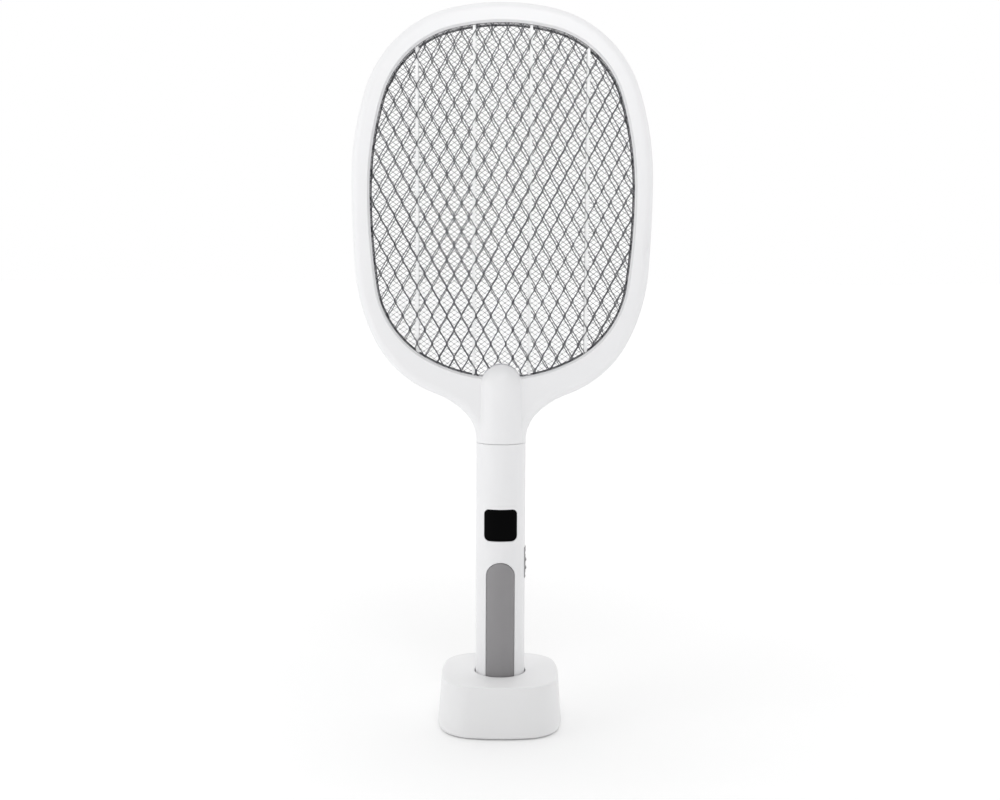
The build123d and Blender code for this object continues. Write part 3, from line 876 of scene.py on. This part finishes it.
# ---- studio ----------------------------------------------------------------------------------
@dataclass
class Studio:
    """Camera, floor and soft light.

    front_light and side_light are the room's brightness on the camera's side and elsewhere. The
    floor shines a little, from nothing near the object to glow at a distance, so that it meets the
    pale room without an edge.
    """

    camera_at: tuple[float, float, float] = (-0.0008, -0.875, 0.3186)
    pitch: float = 6.06
    roll: float = 0.27
    lens: float = 46.22
    front_light: float = 0.26
    side_light: float = 0.96
    floor_half: float = 20.0
    glow: float = 0.3
    glow_from: float = -0.15
    glow_over: float = 0.9

    def camera(self) -> None:
        """Camera in front of the object, tipped down a little."""
        data = bpy.data.cameras.new("camera")
        data.lens, data.sensor_width = self.lens, 36.0
        data.clip_start, data.clip_end = 0.01, 60.0
        made = bpy.data.objects.new("camera", data)
        made.location = self.camera_at
        tilt = Matrix.Rotation(math.radians(90 - self.pitch), 3, "X")
        made.rotation_euler = (tilt @ Matrix.Rotation(math.radians(self.roll), 3, "Z")).to_euler()
        bpy.context.scene.collection.objects.link(made)
        bpy.context.scene.camera = made

    def floor(self) -> None:
        """Wide pale floor, which isn't part of the object."""
        bm = bmesh.new()
        bmesh.ops.create_grid(bm, x_segments=2, y_segments=2, size=self.floor_half)
        made = to_object(bm, "floor")
        g = Graph("floor_paper")
        fibre = g.noise(g.place(), 900.0, 3.0)
        reach = g.node("ShaderNodeVectorMath", {"operation": "LENGTH"}, {0: g.place()}, "Value")
        far = ((reach - self.glow_from) * (1.0 / self.glow_over)).clamp()
        g.surface(
            Base_Color=g.between(fibre, (0.93, 0.93, 0.93, 1), (0.95, 0.95, 0.95, 1)),
            Roughness=0.9,
            Specular_IOR_Level=0.1,
            Emission_Color=g.between(far, (0.0, 0.0, 0.0, 1), (1, 1, 1, 1)),
            Emission_Strength=self.glow,
        )
        made.data.materials.append(g.material)

    def world(self) -> None:
        """Surroundings: a pale room for the camera, softer light from the sides and above."""
        world = bpy.data.worlds.new("studio")
        bpy.context.scene.world = world
        world.use_nodes = True
        tree = world.node_tree
        background = tree.nodes["Background"]
        where = tree.nodes.new("ShaderNodeTexCoord")
        split = tree.nodes.new("ShaderNodeSeparateXYZ")
        ramp = tree.nodes.new("ShaderNodeValToRGB")
        place = tree.nodes.new("ShaderNodeMapRange")
        place.inputs["From Min"].default_value = -1.0
        ramp.color_ramp.elements[0].color = (*[self.front_light] * 3, 1)
        ramp.color_ramp.elements[1].position = 0.55
        ramp.color_ramp.elements[1].color = (*[self.side_light] * 3, 1)
        seen = tree.nodes.new("ShaderNodeLightPath")
        mix = tree.nodes.new("ShaderNodeMix")
        mix.data_type = "RGBA"
        mix.inputs[7].default_value = (1.0, 1.0, 1.0, 1.0)
        tree.links.new(where.outputs["Generated"], split.inputs[0])
        tree.links.new(split.outputs["Y"], place.inputs["Value"])
        tree.links.new(place.outputs["Result"], ramp.inputs["Fac"])
        tree.links.new(seen.outputs["Is Camera Ray"], mix.inputs[0])
        tree.links.new(ramp.outputs["Color"], mix.inputs[6])
        tree.links.new(mix.outputs[2], background.inputs["Color"])

    def light(
        self, name: str, at: tuple[float, float, float], size: float, power: float, aim: float = 0.25
    ) -> None:
        """Square soft light, turned to a point on the object's upright middle line.

        Args:
            name: The light's name.
            at: Where it stands.
            size: Its side.
            power: Its watts.
            aim: The height that it is turned to.
        """
        data = bpy.data.lights.new(name, "AREA")
        data.energy, data.size, data.shape = power, size, "SQUARE"
        made = bpy.data.objects.new(name, data)
        made.location = at
        toward = Vector((0, 0, aim)) - Vector(at)
        made.rotation_euler = toward.to_track_quat("-Z", "Y").to_euler()
        bpy.context.scene.collection.objects.link(made)

    def build(self) -> None:
        """Set everything up."""
        self.camera()
        self.floor()
        self.world()
        self.light("left_box", (-0.9, -0.4, 0.4), 0.6, 1.3)
        self.light("head_box", (0.05, -0.55, 0.75), 0.35, 1.3, aim=0.42)
        self.light("back_box", (0.0, 0.3, 1.6), 0.7, 0.6)
        bpy.context.scene.view_settings.view_transform = "Standard"


# ---- the CAD parts ---------------------------------------------------------------------------
@dataclass
class CadParts:
    """The parts that keep their CAD shape and only get a finish."""

    def dress(self) -> None:
        """Give each shown CAD node the finish of its slot."""
        for row in frame["record"]["subparts"]:
            part = frame["nodes"][row["node"]]
            part.data.materials.clear()
            part.data.materials.append(finish_material(row["material_slot"]))
            LOG.info("%s finished as %s", row["node"], row["material_slot"])


def main() -> None:
    """Build everything in order."""
    logging.basicConfig(level=logging.INFO, format="%(message)s")
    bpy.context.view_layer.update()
    Studio().build()
    CadParts().dress()
    MeshStack().build()
    GripPad().build()
    rear, down = Vector((0, 1, 0)), Vector((0, 0, -1))
    for node, body, facing in (
        ("head_screws", "racket", rear),
        ("handle_screws", "racket", rear),
        ("neck_screws", "racket", rear),
        ("base_screws", "stand", down),
    ):
        CrossScrews(node, body, facing).build()


if __name__ == "__main__":
    main()
